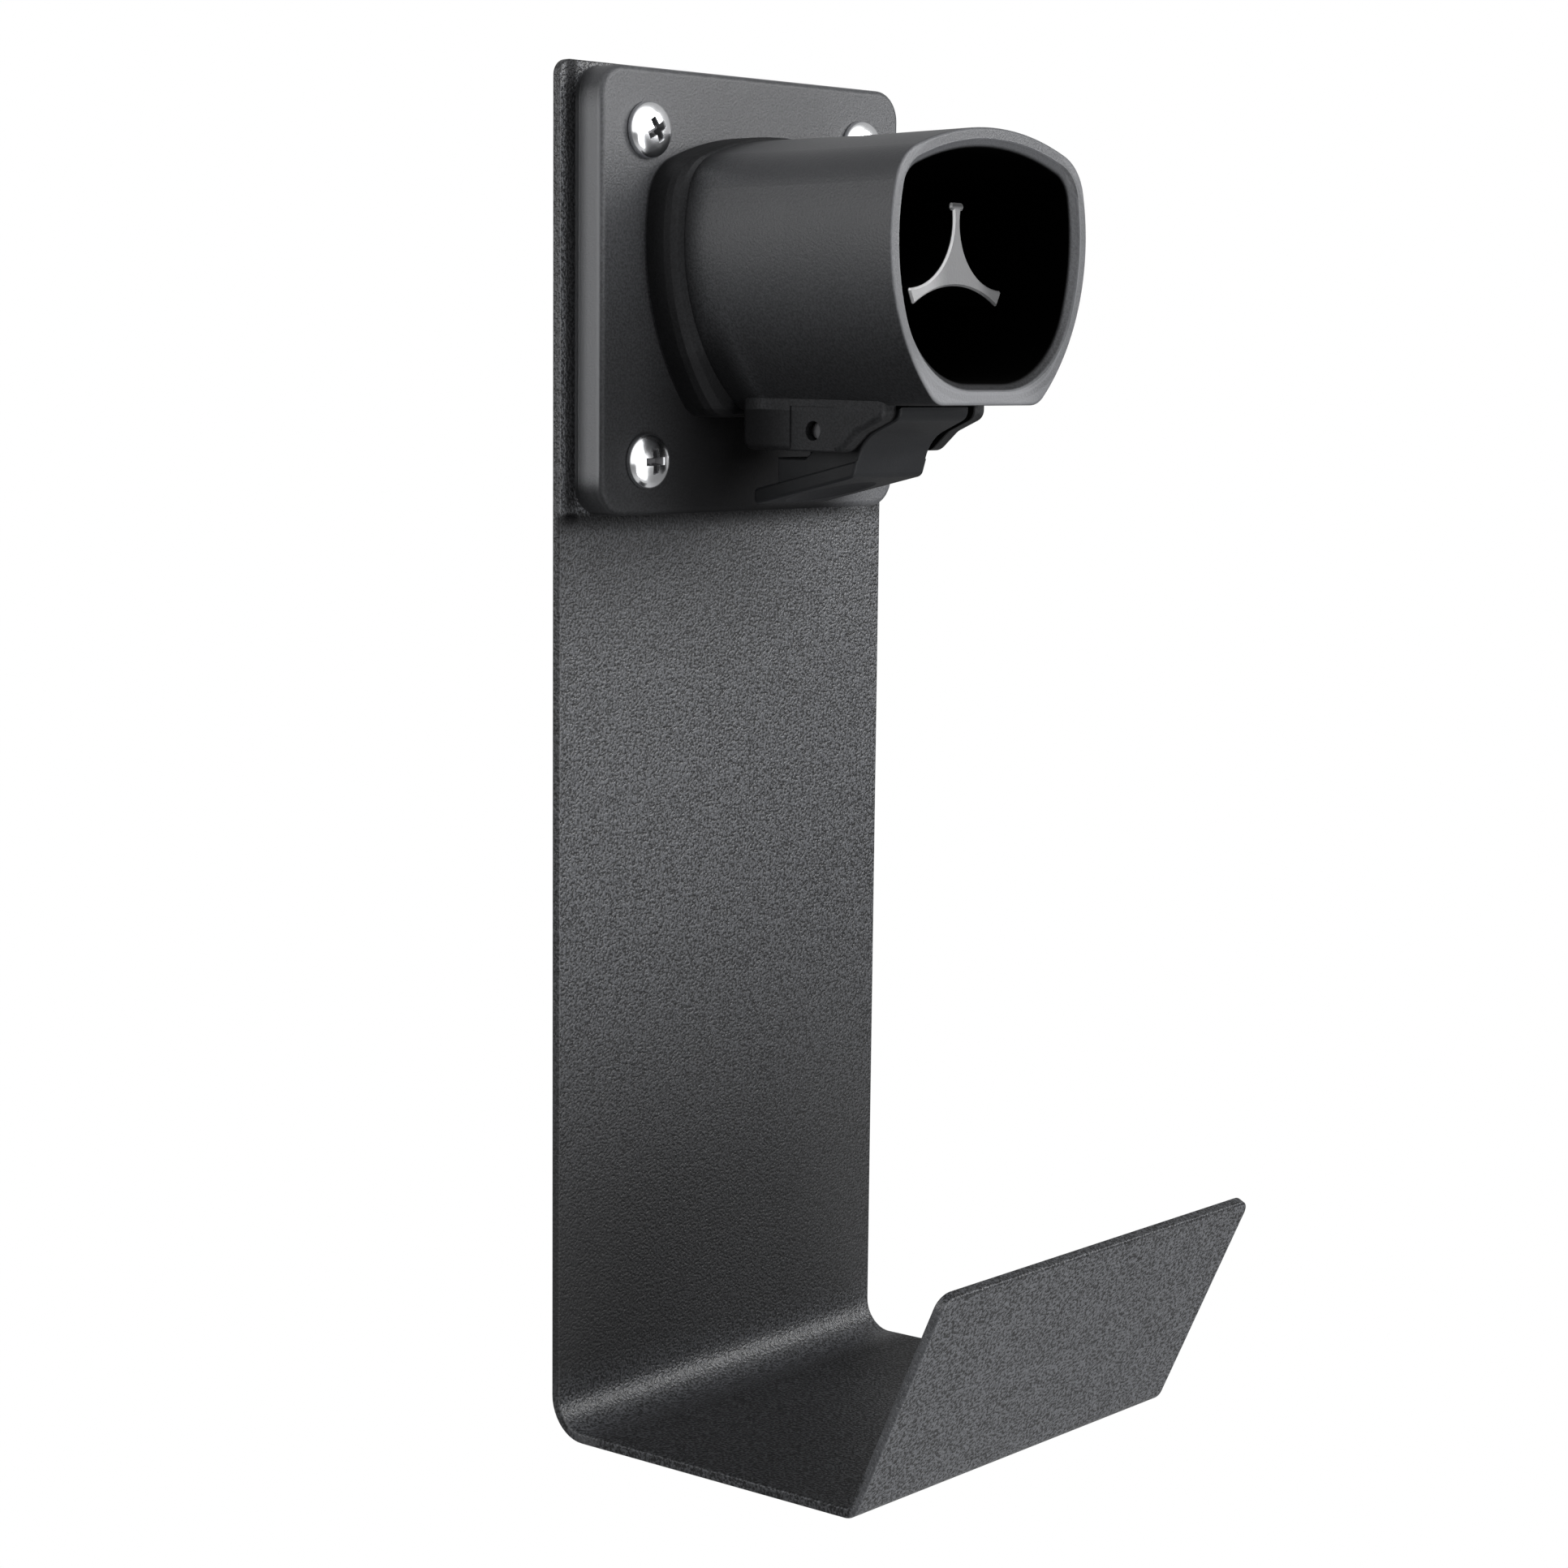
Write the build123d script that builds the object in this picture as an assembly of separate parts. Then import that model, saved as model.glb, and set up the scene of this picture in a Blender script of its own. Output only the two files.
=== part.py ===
from build123d import *
import math
import os

# Wall holder for the plug of a car charging lead. A folded steel strip lies flat on the wall and
# ends in a hook for the coiled lead. A moulded dock sits at its top: a square flange, a collar, a
# socket that the plug pushes into, and a sprung latch between two ears under the socket.
#
# Millimetres and degrees. X runs along the wall, +Z is up, and the dock stands out towards -Y. The
# back face of the strip is the wall plane, y = 0, and the origin is the centre of the wall fixing
# holes. A distance is measured from the wall. Points on the swing plane are (y, z) pairs.

# Folded strip
strip_width = 92.0
strip_thickness = 2.0
strip_height = 266.0  # top edge to the sharp underside corner at the wall
strip_top_margin = 0.8  # how far the strip shows above the flange
floor_length = 80.0  # along the underside, sharp corner to sharp corner
floor_rise = 3.0  # the floor climbs at this angle away from the wall
lip_length = 50.0
lip_turn = 62.5  # from the floor up to the lip
heel_radius = 6.0  # inside radius of the bend at the wall
toe_radius = 2.0  # inside radius of the bend at the lip
strip_corner_radius = 3.0
strip_edge_radius = 0.4

# Wall fixing holes, hidden behind the dock
wall_hole_pitch = 36.0
wall_hole_radius = 3.25
wall_head_radius = 6.0
wall_head_height = 4.2
wall_head_clearance = 0.6
pocket_corner_radius = 2.5

# Flange and its four screws
flange_size = 84.0
flange_thickness = 7.0
flange_corner_radius = 6.0
flange_front_radius = 1.2
screw_inset_x = 12.0  # from the flange's sides
screw_inset_z = 11.0  # from its top and bottom, before the drop
screw_drop = 0.7  # the screws sit this much below the flange centre
screw_radius = 2.45
screw_hole_clearance = 0.3
thread_clearance = 0.05
screw_end_gap = 0.3  # the screw ends stop short of the wall
screw_end_chamfer = 0.5
head_radius = 5.3
head_height = 2.9
head_rim = 0.6
recess_span = 5.2
recess_arm = 1.3
recess_depth = 1.8
recess_draft = 10.0

# Socket tube: two side arcs under an arched top, with a flat bottom
mouth_distance = 68.6
neck_distance = 42.0
widest_z = 9.8
mouth_half_width = 28.3
mouth_top = 30.1
mouth_bottom = -20.2
tube_side_radius = 40.0
tube_arch_radius = 59.0
tube_upper_corner = 9.5
tube_lower_corner = 5.0
neck_inset = 0.4  # the tube is slimmer here than at its mouth
root_drop = 1.8  # and deeper where it leaves the collar
rim_edge_radius = 0.6
rim_side = 2.2  # flat face of the rim, inside which the lead-in starts
rim_top = 2.0
rim_bottom = 2.5
lead_in_depth = 1.6
lead_in_width = 1.6
bore_side_radius = 43.0
bore_arch_radius = 56.0
bore_upper_corner = 7.5
bore_lower_corner = 20.0
bore_draft = 0.6
end_wall = 3.2

# Collar between the flange and the tube
collar_half_width = 30.6
collar_top = 30.4
collar_bottom = -23.4
collar_side_radius = 50.0
collar_arch_radius = 62.0
collar_upper_corner = 10.0
collar_lower_corner = 6.0
collar_depth = 5.0
shoulder_depth = 2.8
shoulder_steps = 3

# Three armed guide on the end wall of the socket, between the plug's sleeves
guide_setback = 8.4  # behind the mouth
sleeve_radius = 12.5
sleeve_x = 13.4
sleeve_z = 13.5
low_sleeve_radius = 21.5
guide_waist_z = 1.65  # top of the low sleeve
guide_top_z = 16.8
guide_cap_width = 3.8
guide_cap_height = 1.4
guide_cap_radius = 0.6
guide_arm_reach = 13.4
guide_arm_width = 2.8
guide_arm_angle = 25.0
guide_tip_radius = 0.4
guide_edge_chamfer = 0.35

# Outline that the ears and the lever share, from the tube down
nose_distance = 55.6
nose_knee_z = -22.8
nose_knee_radius = 2.3

# Ears
ear_inner_x = 11.25
ear_outer_x = 15.1
ear_waist = (-49.3, -25.55)
ear_waist_radius = 4.0
ear_toe = (-45.0, -29.3)
ear_toe_radius = 3.0
ear_back_distance = 20.0
ear_back_radius = 2.0
ear_edge_radius = 1.1
ear_root = 1.2  # how far the ears run up into the tube's floor
ear_pad_length = 11.4
ear_pad_depth = 0.35

# Hinge pin
pin_distance = 38.1
pin_z = -25.4
pin_radius = 1.8
pin_clearance = 0.06
pin_end_inset = 1.5
pin_end_chamfer = 0.3

# Latch lever
lever_side_gap = 1.35
lever_top_gap = 0.35
lever_shin = (-46.46, -26.92)
lever_shin_radius = 8.0
lever_toe = (-44.18, -34.1)
lever_toe_radius = 1.6
lever_eye_radius = 3.9
lever_seat_z = -30.8
lever_seat_front = -31.7
lever_back = -24.5
lever_edge_radius = 0.5
web_back = -21.5
web_top_z = -32.6
web_half_width = 6.0
thumb_slope = 13.2
thumb_thickness = 3.0
thumb_back = -18.5
thumb_overhang = 0.3
thumb_end_radius = 0.9
thumb_edge_radius = 0.6
scoop_y = -29.5
scoop_half_length = 10.0
scoop_half_width = 7.4
scoop_depth = 1.3
scoop_roundness = 8.0
latch_travel = 12.0  # angle that the thumb can lift the tail

# Tooth on the lever, and its window in the socket floor
tooth_width = 8.0
tooth_front = -52.3
tooth_crest = -48.9
tooth_back = -46.1
tooth_rise = 1.4  # above the socket floor
tooth_ramp = 3.0  # height of the ramp in front of the crest
window_side_gap = 1.0
window_end_gap = 0.7  # left at both ends when the tooth swings

# Latch spring, upright between the tube and the seat on the lever
spring_y = -28.1
spring_coil_radius = 2.7
spring_wire_radius = 0.35
spring_turns = 4.0
spring_wire_sides = 8
spring_end_gap = 0.05
peg_radius = 1.7
peg_height = 3.0

plate_top_z = flange_size / 2 + strip_top_margin
flange_front = strip_thickness + flange_thickness
collar_front = flange_front + collar_depth
tube_root = collar_front + shoulder_depth
pocket_depth = wall_head_height + wall_head_clearance
pocket_size = wall_hole_pitch + 2 * (wall_head_radius + wall_head_clearance)
bore_end = strip_thickness + pocket_depth + end_wall
socket_floor_z = mouth_bottom + rim_bottom + lead_in_width
lever_half_width = ear_inner_x - lever_side_gap
hinge = (-pin_distance, pin_z)


def facing(distance):
    # A plane parallel to the wall, seen from the front: local x is X and local y is Z
    return Plane.XZ.offset(distance)


def slab(profile, half_width):
    # A profile on the swing plane, thickened to both sides of the middle
    return extrude(Plane.YZ * profile, half_width, both=True)


def corners(pitch_x, pitch_z, drop=0.0):
    return [(sx * pitch_x / 2, sz * pitch_z / 2 - drop) for sx in (-1, 1) for sz in (-1, 1)]


def rods(places, radius, start, end):
    # Round rods square to the wall, between two distances from it
    sketch = Sketch() + [Pos(x, z) * Circle(radius) for x, z in places]
    return extrude(facing(start) * sketch, end - start)


screw_places = corners(flange_size - 2 * screw_inset_x, flange_size - 2 * screw_inset_z, screw_drop)
wall_hole_places = corners(wall_hole_pitch, wall_hole_pitch)


def strip_profile():
    # The sheet's outer skin corner by corner, then its inner skin back again
    angles = [math.radians(angle) for angle in (-90, floor_rise, floor_rise + lip_turn)]
    lengths = [strip_height, floor_length, lip_length]
    outer = [Vector(0, plate_top_z)]
    for angle, length in zip(angles, lengths):
        outer.append(outer[-1] + Vector(-math.cos(angle), math.sin(angle)) * length)
    normals = [Vector(math.sin(angle), math.cos(angle)) for angle in angles]
    inner = [outer[0] + normals[0] * strip_thickness]
    for corner, before, after in zip(outer[1:3], normals, normals[1:]):
        inner.append(corner + (before + after) * (strip_thickness / (1 + before.dot(after))))
    inner.append(outer[3] + normals[2] * strip_thickness)
    outer_radii = [0, heel_radius + strip_thickness, toe_radius + strip_thickness, 0]
    inner_radii = [0, toe_radius, heel_radius, 0]
    return make_face(FilletPolyline(outer + inner[::-1], radius=outer_radii + inner_radii, close=True))


def skin_edges(strip):
    # The sharp edges round both skins, without the seams that cross the sheet's thickness
    rim = [strip.faces().sort_by(Axis.Z)[-1], strip.faces().sort_by(Axis.Y)[0]]
    corner_x = strip_width / 2 - strip_corner_radius
    rim += [face for face in strip.faces() if abs(face.center().X) > corner_x]
    edges = ShapeList(edge for face in rim for edge in face.edges())
    return edges.filter_by(lambda edge: abs(edge.length - strip_thickness) > strip_thickness / 100)


def bracket():
    strip = slab(strip_profile(), strip_width / 2)
    ends = strip.edges().filter_by(lambda edge: abs(edge.length - strip_thickness) < strip_thickness / 100)
    strip = fillet(ends, strip_corner_radius)
    strip = fillet(skin_edges(strip), strip_edge_radius)
    strip -= rods(screw_places, screw_radius + thread_clearance, 0, strip_thickness)
    return strip - rods(wall_hole_places, wall_hole_radius, 0, strip_thickness)


def arched(half_width, top, bottom, side_radius, arch_radius, upper_corner, lower_corner):
    # Two side arcs cut off by an arched top and a flat bottom, with all four corners rounded
    right = Pos(half_width - side_radius, widest_z) * Circle(side_radius)
    left = Pos(side_radius - half_width, widest_z) * Circle(side_radius)
    arch = Pos(0, top - arch_radius) * Circle(arch_radius)
    band = Pos(0, bottom + side_radius) * Rectangle(4 * side_radius, 2 * side_radius)
    face = (right & left & arch & band).faces()[0]
    face = fillet(face.vertices().sort_by(Axis.Y)[-2:], upper_corner)
    return fillet(face.vertices().sort_by(Axis.Y)[:2], lower_corner)


def tube_shape(inset, drop):
    sizes = [mouth_half_width - inset, mouth_top - inset, mouth_bottom - drop]
    return sizes + [tube_side_radius, tube_arch_radius, tube_upper_corner, tube_lower_corner]


def bore_shape(inset):
    half_width = mouth_half_width - rim_side - inset
    sizes = [half_width, mouth_top - rim_top - inset, mouth_bottom + rim_bottom + inset]
    radii = [bore_side_radius, bore_arch_radius, bore_upper_corner, bore_lower_corner]
    return sizes + [radius - inset for radius in radii]


collar_shape = [collar_half_width, collar_top, collar_bottom]
collar_shape += [collar_side_radius, collar_arch_radius, collar_upper_corner, collar_lower_corner]
root_shape = tube_shape(neck_inset, root_drop)
neck_shape = tube_shape(neck_inset, neck_inset)


def floor_z(distance):
    # Underside of the tube at a distance from the wall
    if distance > neck_distance:
        share = (mouth_distance - distance) / (mouth_distance - neck_distance)
        return mouth_bottom - share * neck_inset
    share = (neck_distance - distance) / (neck_distance - tube_root)
    return mouth_bottom - neck_inset - share * (root_drop - neck_inset)


def shoulder_sections():
    # Outlines from the collar's front edge round to the tube's root, on a quarter of an ellipse
    sections = []
    for step in range(shoulder_steps + 1):
        turn = math.radians(90 * step / shoulder_steps)
        share = 1 - math.cos(turn)
        sizes = [a + (b - a) * share for a, b in zip(collar_shape, root_shape)]
        sections.append(facing(collar_front + shoulder_depth * math.sin(turn)) * arched(*sizes))
    return sections


def flange():
    block = extrude(facing(strip_thickness) * Rectangle(flange_size, flange_size), flange_thickness)
    block = fillet(block.edges().filter_by(Axis.Y), flange_corner_radius)
    return fillet(block.faces().sort_by(Axis.Y)[0].edges(), flange_front_radius)


def tube():
    collar = extrude(facing(flange_front) * arched(*collar_shape), collar_depth)
    root = facing(tube_root) * arched(*root_shape)
    neck = facing(neck_distance) * arched(*neck_shape)
    mouth = facing(mouth_distance) * arched(*tube_shape(0, 0))
    front = loft([neck, mouth], ruled=True)
    front = fillet(front.faces().sort_by(Axis.Y)[0].edges(), rim_edge_radius)
    return collar + loft(shoulder_sections(), ruled=True) + loft([root, neck], ruled=True) + front


def bore():
    deep = facing(bore_end) * arched(*bore_shape(lead_in_width + bore_draft))
    throat = facing(mouth_distance - lead_in_depth) * arched(*bore_shape(lead_in_width))
    mouth = facing(mouth_distance) * arched(*bore_shape(0))
    return loft([deep, throat], ruled=True) + loft([throat, mouth], ruled=True)


def guide():
    # What is left between two round sleeves above and a wider one below
    turn = math.radians(guide_arm_angle)
    arm_end = Vector(guide_arm_reach, sleeve_z - sleeve_radius)
    slant = Vector(math.sin(turn), math.cos(turn)) * guide_arm_width
    high, low = arm_end + slant / 2, arm_end - slant * 2
    half_cap = guide_cap_width / 2
    cap_z = guide_top_z - guide_cap_height / 2
    right = [(half_cap, cap_z), (half_cap, sleeve_z), (high.X, high.Y), (low.X, low.Y)]
    left = [(-x, z) for x, z in reversed(right)]
    star = make_face(Polyline(right + left, close=True))
    star -= [Pos(side * sleeve_x, sleeve_z) * Circle(sleeve_radius) for side in (-1, 1)]
    star -= Pos(0, guide_waist_z - low_sleeve_radius) * Circle(low_sleeve_radius)
    star += Pos(0, cap_z) * RectangleRounded(guide_cap_width, guide_cap_height, guide_cap_radius)
    inner_reach = guide_arm_reach - guide_arm_width
    arm_tips = star.vertices().filter_by(lambda vertex: abs(vertex.X) > inner_reach)
    star = fillet(arm_tips, guide_tip_radius)
    post = extrude(facing(bore_end) * star, mouth_distance - guide_setback - bore_end)
    return chamfer(post.faces().sort_by(Axis.Y)[0].edges(), guide_edge_chamfer)


def ear(side):
    top = mouth_bottom + ear_root
    back = -ear_back_distance
    points = [(-nose_distance, top), (-nose_distance, nose_knee_z), ear_waist, ear_toe]
    points += [(back, ear_toe[1]), (back, top)]
    radii = [0, nose_knee_radius, ear_waist_radius, ear_toe_radius, ear_back_radius, 0]
    outline = make_face(FilletPolyline(points, radius=radii, close=True))
    pad = Pos(hinge[0], ear_toe[1]) * Rectangle(ear_pad_length, 2 * (floor_z(pin_distance) - ear_toe[1]))
    plate = extrude(Plane.YZ.offset(ear_inner_x) * outline, ear_outer_x - ear_inner_x)
    rim = plate.faces().sort_by(Axis.X)[-1].edges()
    plate = fillet(rim.filter_by(lambda edge: edge.center().Z < top - ear_root), ear_edge_radius)
    plate -= extrude(Plane.YZ.offset(ear_outer_x - ear_pad_depth) * pad, ear_pad_depth)
    return plate if side > 0 else mirror(plate, about=Plane.YZ)


def spring_top_z():
    return floor_z(-spring_y - spring_coil_radius - spring_wire_radius)


def spring_peg(bottom, top):
    return extrude(Plane.XY.offset(bottom) * Pos(0, spring_y) * Circle(peg_radius), top - bottom)


def tooth_ramp_foot():
    return Vector(tooth_front, socket_floor_z + tooth_rise - tooth_ramp)


def window():
    # Cut through the socket floor, with room for the tooth to swing down and forward
    swung = Vector(*hinge) + (tooth_ramp_foot() - Vector(*hinge)).rotate(Axis.Z, latch_travel)
    front = min(tooth_front, swung.X) - window_end_gap
    back = tooth_back + window_end_gap
    outline = Rectangle(tooth_width + 2 * window_side_gap, back - front)
    underside = mouth_bottom - neck_inset
    base = Plane.XY.offset(underside) * Pos(0, (front + back) / 2) * outline
    return extrude(base, socket_floor_z + bore_draft - underside)


def wall_pocket():
    # Cored out of the dock's back, so that it clears the heads of the wall screws
    outline = RectangleRounded(pocket_size, pocket_size, pocket_corner_radius)
    return extrude(facing(strip_thickness) * outline, pocket_depth)


def dock_body():
    body = flange() + tube() + ear(-1) + ear(1)
    body += spring_peg(spring_top_z() - peg_height, mouth_bottom)
    body -= bore() + wall_pocket() + window()
    body += guide()
    body -= rods(screw_places, screw_radius + screw_hole_clearance, strip_thickness, flange_front)
    return body - slab(Pos(*hinge) * Circle(pin_radius + pin_clearance), ear_outer_x)


def thumb_line(y, height=0.0):
    # Height of the lever's sloping underside, or of a line above it
    turn = math.radians(thumb_slope)
    return lever_toe[1] + height / math.cos(turn) - math.tan(turn) * (y - lever_toe[0])


def lever_outline():
    eye_top = (hinge[0], pin_z + lever_eye_radius)
    nose_top = (-nose_distance, floor_z(nose_distance) - lever_top_gap)
    points = [nose_top, (-nose_distance, nose_knee_z), lever_shin, lever_toe]
    points += [(thumb_back, thumb_line(thumb_back)), (thumb_back, thumb_line(thumb_back, thumb_thickness))]
    points += [(lever_back, thumb_line(lever_back, thumb_thickness)), (lever_back, lever_seat_z)]
    points += [(lever_seat_front, lever_seat_z), hinge, eye_top]
    radii = [0, nose_knee_radius, lever_shin_radius, lever_toe_radius, thumb_end_radius, thumb_end_radius]
    return make_face(FilletPolyline(points, radius=radii + [0, 0, 0, 0, 0], close=True))


def thumb_pad():
    # The lowest layer of the lever's outline, a little wider than the rest
    reach = 2 * (thumb_back - lever_toe[0])
    band = Rot(0, 0, -thumb_slope) * Rectangle(2 * reach, 2 * thumb_thickness)
    pad = slab(lever_outline() & Pos(*lever_toe) * band, lever_half_width + thumb_overhang)
    sides = pad.faces().filter_by(Axis.X).edges()
    low = sides.filter_by(lambda edge: edge.center().Z < thumb_line(edge.center().Y, thumb_thickness / 2))
    return fillet(low, thumb_edge_radius)


def scoop():
    # A shallow oval dish for the thumb, part of a large egg
    spread = math.sqrt(1 - (1 - scoop_depth / scoop_roundness) ** 2)
    egg = scale(Sphere(1), by=(scoop_half_width / spread, scoop_half_length / spread, scoop_roundness))
    sink = scoop_depth - scoop_roundness
    return Pos(0, scoop_y, thumb_line(scoop_y)) * Rot(-thumb_slope, 0, 0) * Pos(0, 0, sink) * egg


def tooth():
    # Ramped in front, so that the plug pushes it down, and square behind
    foot = tooth_ramp_foot()
    points = [(tooth_front, nose_knee_z), (foot.X, foot.Y), (tooth_crest, foot.Y + tooth_ramp)]
    points += [(tooth_back, foot.Y + tooth_ramp), (tooth_back, nose_knee_z)]
    return slab(make_face(Polyline(points, close=True)), tooth_width / 2)


def web():
    points = [(lever_back, lever_seat_z), (web_back, web_top_z), (web_back, thumb_line(web_back))]
    points += [(lever_back, thumb_line(lever_back))]
    return slab(make_face(Polyline(points, close=True)), web_half_width)


def latch_lever():
    body = slab(lever_outline() + Pos(*hinge) * Circle(lever_eye_radius), lever_half_width)
    body = fillet(body.faces().filter_by(Axis.X).edges(), lever_edge_radius)
    lever = body + thumb_pad() + web() + tooth()
    lever += spring_peg(lever_seat_z, lever_seat_z + peg_height)
    lever -= slab(Pos(*hinge) * Circle(pin_radius + pin_clearance), lever_half_width)
    return lever - scoop()


def latch_pin():
    half_length = ear_outer_x - ear_pad_depth - pin_end_inset
    pin = slab(Pos(*hinge) * Circle(pin_radius), half_length)
    return chamfer(pin.edges().filter_by(GeomType.CIRCLE), pin_end_chamfer)


def latch_spring():
    bottom = lever_seat_z + spring_end_gap + spring_wire_radius
    top = spring_top_z() - spring_end_gap - spring_wire_radius
    line = Helix((top - bottom) / spring_turns, top - bottom, spring_coil_radius)
    wire = Plane(origin=line @ 0, z_dir=line % 0) * RegularPolygon(spring_wire_radius, spring_wire_sides)
    return Pos(0, spring_y, bottom) * sweep(wire, path=line, is_frenet=True)


def screw():
    # Along local Z, with the underside of its head at z = 0
    length = flange_front - screw_end_gap
    dome = TangentArc((0, head_height), (head_radius, head_rim), tangent=(1, 0))
    edge = Polyline((head_radius, head_rim), (head_radius, 0), (screw_radius, 0), (screw_radius, -length))
    half = make_face(dome + edge + Polyline((screw_radius, -length), (0, -length), (0, head_height)))
    solid = revolve(Plane.XZ * half, Axis.Z)
    solid = chamfer(solid.edges().sort_by(Axis.Z)[0], screw_end_chamfer)
    cross = Rectangle(recess_span, recess_arm) + Rectangle(recess_arm, recess_span)
    mouth = Plane(origin=(0, 0, head_height), z_dir=(0, 0, -1))
    return solid - extrude(mouth * cross, recess_depth, taper=recess_draft)


def flange_screws():
    return Part() + [facing(flange_front) * Pos(x, z) * screw() for x, z in screw_places]


nodes = {
    "bracket": bracket,
    "dock_body": dock_body,
    "latch_lever": latch_lever,
    "latch_pin": latch_pin,
    "latch_spring": latch_spring,
    "flange_screws": flange_screws,
}

os.makedirs("parts", exist_ok=True)
for name, make in nodes.items():
    export_step(make(), f"parts/{name}.step")
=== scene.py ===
import math
import bpy
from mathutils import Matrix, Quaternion, Vector


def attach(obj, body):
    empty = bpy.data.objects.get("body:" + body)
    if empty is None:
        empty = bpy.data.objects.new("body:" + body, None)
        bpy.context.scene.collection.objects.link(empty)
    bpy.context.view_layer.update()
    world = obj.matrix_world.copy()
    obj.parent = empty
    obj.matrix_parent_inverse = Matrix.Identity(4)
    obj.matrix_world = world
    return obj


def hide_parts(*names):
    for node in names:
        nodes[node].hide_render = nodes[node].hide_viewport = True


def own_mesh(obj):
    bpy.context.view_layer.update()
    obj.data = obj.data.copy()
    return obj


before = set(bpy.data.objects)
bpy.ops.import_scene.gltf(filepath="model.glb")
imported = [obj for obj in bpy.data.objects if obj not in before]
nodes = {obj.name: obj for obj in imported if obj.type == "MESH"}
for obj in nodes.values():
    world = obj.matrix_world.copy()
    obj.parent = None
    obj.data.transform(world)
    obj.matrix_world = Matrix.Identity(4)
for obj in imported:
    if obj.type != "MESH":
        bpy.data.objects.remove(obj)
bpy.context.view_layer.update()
mm = 1000  # the frame is in metres, and the finishes are placed in millimetres
print("frame loaded:", ", ".join(sorted(nodes)))


class Wire:
    # One socket of a tree. Arithmetic on it adds Math nodes, and node() adds any other kind
    def __init__(self, tree, socket=None):
        self.tree = tree
        self.socket = socket

    def node(self, kind, settings=None, sockets=None, output=0):
        # The settings go first, because some of them decide which sockets there are
        made = self.tree.nodes.new(kind)
        for name, value in (settings or {}).items():
            setattr(made, name, value)
        for name, value in (sockets or {}).items():
            if isinstance(value, Wire):
                self.tree.links.new(value.socket, made.inputs[name])
            else:
                made.inputs[name].default_value = value
        return Wire(self.tree, made.outputs[output]) if made.outputs else None

    def other(self, output):
        # Another output of the same node
        return Wire(self.tree, self.socket.node.outputs[output])

    def calc(self, operation, *values):
        return self.node("ShaderNodeMath", {"operation": operation}, dict(enumerate(values)))

    def __add__(self, other):
        return self.calc("ADD", self, other)

    def __radd__(self, other):
        return self.calc("ADD", other, self)

    def __sub__(self, other):
        return self.calc("SUBTRACT", self, other)

    def __rsub__(self, other):
        return self.calc("SUBTRACT", other, self)

    def __mul__(self, other):
        return self.calc("MULTIPLY", self, other)

    def __rmul__(self, other):
        return self.calc("MULTIPLY", other, self)

    def __truediv__(self, other):
        return self.calc("DIVIDE", self, other)

    def __rtruediv__(self, other):
        return self.calc("DIVIDE", other, self)

    def __abs__(self):
        return self.calc("ABSOLUTE", self)

    def atLeast(self, other):
        return self.calc("MAXIMUM", self, other)

    def atMost(self, other):
        return self.calc("MINIMUM", self, other)

    def root(self):
        return self.calc("SQRT", self)

    def step(self, low, high, least=0.0, most=1.0):
        # least up to low, most from high, smooth between, or the other way round if low is the larger
        return self.node("ShaderNodeMapRange", {"interpolation_type": "SMOOTHSTEP"}, {
            "Value": self, "From Min": low, "From Max": high, "To Min": least, "To Max": most})

    def axes(self, scale=1):
        parts = self.node("ShaderNodeSeparateXYZ", {}, {"Vector": self})
        parts = (parts, parts.other("Y"), parts.other("Z"))
        return parts if scale == 1 else [part * scale for part in parts]

    def dot(self, way):
        return self.node("ShaderNodeVectorMath", {"operation": "DOT_PRODUCT"}, {0: self, 1: way}, "Value")

    def noise(self, scale, detail, roughness, stretch=None):
        place = self
        if stretch:
            place = self.node("ShaderNodeVectorMath", {"operation": "MULTIPLY"}, {0: self, 1: stretch})
        return self.node("ShaderNodeTexNoise", {}, {
            "Vector": place, "Scale": scale, "Detail": detail, "Roughness": roughness})

    def blend(self, first, second):
        # Two colours mixed by this value. A Mix node's colours are its sockets 6 and 7, and leave by output 2
        return self.node("ShaderNodeMix", {"data_type": "RGBA"}, {0: self, 6: first, 7: second}, 2)


def distance(*sides):
    # Root of the summed squares
    total = sides[0] * sides[0]
    for side in sides[1:]:
        total = total + side * side
    return total.root()


def maskFrom(axes, limits):
    # Product of steps. Each limit names an axis, says where the mask is 0 and where it is 1 along it,
    # and may end in two other values to go from and to
    mask = None
    for name, *ends in limits:
        part = axes[name].step(*ends)
        mask = part if mask is None else mask * part
    return mask


def uneven(level, *parts):
    # Noise lies round 0.5, so each part moves the level up and down by its share
    for noise, share in parts:
        level = level + (noise - 0.5) * share
    return level


def colour(value):
    return (*value, 1.0)


def startMaterial(name):
    material = bpy.data.materials.new(name)
    material.use_nodes = True
    material.node_tree.nodes.clear()
    start = Wire(material.node_tree)
    return material, start, start.node("ShaderNodeTexCoord", {}, {}, "Object")


def finishMaterial(start, shade, roughness, bumps, constants):
    # bumps is a list of (height, strength, distance), the broadest first
    surface = {"Base Color": shade, "Roughness": roughness, **constants}
    for height, strength, depth in bumps:
        sockets = {"Height": height, "Strength": strength, "Distance": depth}
        if "Normal" in surface:
            sockets["Normal"] = surface["Normal"]
        surface["Normal"] = start.node("ShaderNodeBump", {}, sockets)
    surface = start.node("ShaderNodeBsdfPrincipled", {}, surface)
    start.node("ShaderNodeOutputMaterial", {}, {"Surface": surface})


cameraSetup = {
    "place": (-0.44657, -0.43316, -0.01175),
    "azimuth": -47.087,
    "elevation": 7.844,
    "roll": 0.630,
    "lens": 71.128,
    "sensor": 36.0,
    "clip": (0.01, 50.0),
}


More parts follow.
